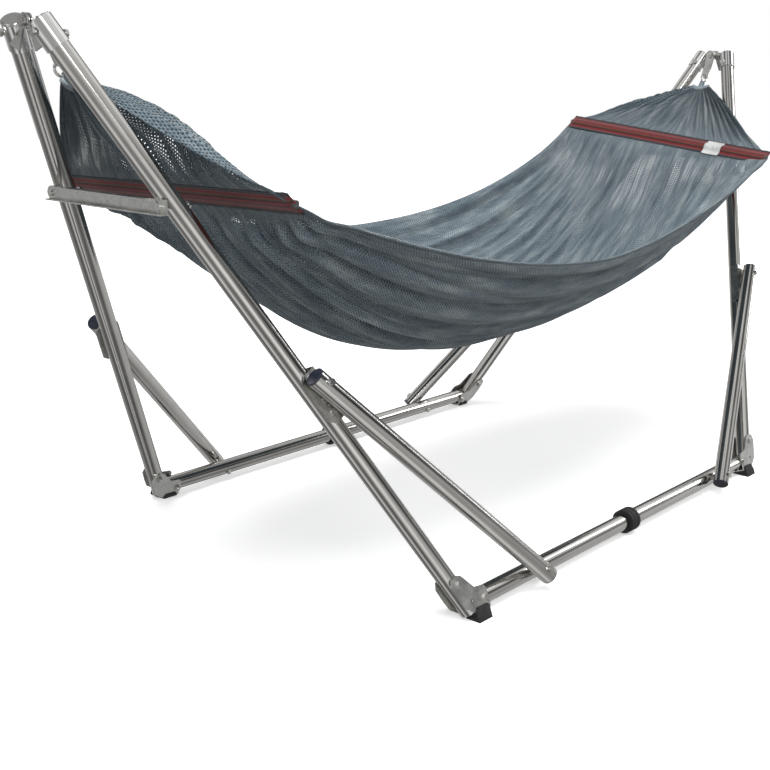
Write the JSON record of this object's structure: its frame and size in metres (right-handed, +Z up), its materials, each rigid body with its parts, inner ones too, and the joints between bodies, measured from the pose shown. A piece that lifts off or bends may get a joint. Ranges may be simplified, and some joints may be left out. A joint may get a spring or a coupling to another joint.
{
  "type": "hammock on stand",
  "caption": "Free-standing hammock slung between two folding A-shaped tube frames, with spreader bars, stays and rubber feet.",
  "frame": {"origin": "centre of the footprint on the ground", "axes": "+Z up, X along the hammock and the rails, Y across; the front frame is at -Y"},
  "size_m": [2.4884, 1.0952, 1.126],
  "materials": {
    "chrome_tube": "polished stainless tube",
    "chrome": "polished",
    "galvanised_sheet": "galvanised pressed sheet",
    "zinc_bolts": "bright zinc",
    "knob_steel": "polished",
    "black_rubber": "moulded",
    "black_plastic": "satin",
    "bar_fibre": "pultruded",
    "webbing": "woven striped webbing",
    "loop_webbing": "woven",
    "mesh_fabric": "knitted mesh"
  },
  "bodies": {
    "front_frame": {"front_foot_bracket_left": "galvanised_sheet", "front_foot_bracket_right": "galvanised_sheet", "front_foot_pad_left": "black_rubber", "front_foot_pad_right": "black_rubber", "front_frame_bolts": "zinc_bolts", "front_hub_bracket_left": "chrome", "front_hub_bracket_right": "chrome", "front_leg_caps": "chrome", "front_leg_left": "chrome_tube", "front_leg_right": "chrome_tube", "front_rail_collar": "black_rubber", "front_rail_joiner": "chrome_tube", "front_rail_left": "chrome_tube", "front_rail_right": "chrome_tube", "front_strut_caps": "black_plastic", "front_strut_clip_left": "galvanised_sheet", "front_strut_clip_right": "galvanised_sheet", "front_strut_left": "chrome_tube", "front_strut_right": "chrome_tube", "hinge_bolt_left": "zinc_bolts", "hinge_bolt_right": "zinc_bolts"},
    "rear_frame": {"rear_foot_bracket_left": "galvanised_sheet", "rear_foot_bracket_right": "galvanised_sheet", "rear_foot_pad_left": "black_rubber", "rear_foot_pad_right": "black_rubber", "rear_frame_bolts": "zinc_bolts", "rear_hub_bracket_left": "chrome", "rear_hub_bracket_right": "chrome", "rear_leg_caps": "chrome", "rear_leg_left": "chrome_tube", "rear_leg_right": "chrome_tube", "rear_rail_collar": "black_rubber", "rear_rail_joiner": "chrome_tube", "rear_rail_left": "chrome_tube", "rear_rail_right": "chrome_tube", "rear_strut_caps": "black_plastic", "rear_strut_clip_left": "galvanised_sheet", "rear_strut_clip_right": "galvanised_sheet", "rear_strut_left": "chrome_tube", "rear_strut_right": "chrome_tube"},
    "hammock": {"band_left": "webbing", "band_right": "webbing", "bed_left": "mesh_fabric", "bed_middle": "mesh_fabric", "bed_right": "mesh_fabric", "end_panel_left": "mesh_fabric", "end_panel_right": "mesh_fabric", "gather_loop_left": "loop_webbing", "gather_loop_right": "loop_webbing", "hanger_left": "galvanised_sheet", "hanger_right": "galvanised_sheet", "hanging_rings": "chrome", "spreader_bars": "bar_fibre"},
    "stay_left": {"stay_left": "galvanised_sheet"},
    "stay_right": {"stay_right": "galvanised_sheet"},
    "lock_pin_front_left": {"front_lock_pin_left": "knob_steel"},
    "lock_pin_front_right": {"front_lock_pin_right": "knob_steel"},
    "lock_pin_rear_left": {"rear_lock_pin_left": "knob_steel"},
    "lock_pin_rear_right": {"rear_lock_pin_right": "knob_steel"}
  },
  "joints": [
    {"name": "frame_fold", "type": "hinge", "parent": "front_frame", "child": "rear_frame", "pos_m": [0, 0, 1.112], "axis": [1, 0, 0], "range_deg": [-36, 0]},
    {"name": "hammock_swing", "type": "hinge", "parent": "front_frame", "child": "hammock", "pos_m": [0, 0, 1.112], "axis": [1, 0, 0], "range_deg": [-25, 25]},
    {"name": "stay_left_swing", "type": "hinge", "parent": "rear_frame", "child": "stay_left", "pos_m": [-1.0888, 0.16102, 0.8145], "axis": [1, 0, 0], "range_deg": [0, 92]},
    {"name": "stay_right_swing", "type": "hinge", "parent": "rear_frame", "child": "stay_right", "pos_m": [1.0888, 0.16102, 0.8145], "axis": [1, 0, 0], "range_deg": [0, 92]},
    {"name": "lock_front_left_pull", "type": "slide", "parent": "front_frame", "child": "lock_pin_front_left", "axis": [0, -0.9251, 0.3797], "range_m": [0, 0.008], "stiffness_N_per_m": 500, "springref_m": -0.004},
    {"name": "lock_front_right_pull", "type": "slide", "parent": "front_frame", "child": "lock_pin_front_right", "axis": [0, -0.9251, 0.3797], "range_m": [0, 0.008], "stiffness_N_per_m": 500, "springref_m": -0.004},
    {"name": "lock_rear_left_pull", "type": "slide", "parent": "rear_frame", "child": "lock_pin_rear_left", "axis": [0, 0.9251, 0.3797], "range_m": [0, 0.008], "stiffness_N_per_m": 500, "springref_m": -0.004},
    {"name": "lock_rear_right_pull", "type": "slide", "parent": "rear_frame", "child": "lock_pin_rear_right", "axis": [0, 0.9251, 0.3797], "range_m": [0, 0.008], "stiffness_N_per_m": 500, "springref_m": -0.004}
  ],
  "couplings": [
    {"joint": "stay_left_swing", "follows": "frame_fold", "ratio": -2.5523},
    {"joint": "stay_right_swing", "follows": "frame_fold", "ratio": -2.5523}
  ]
}
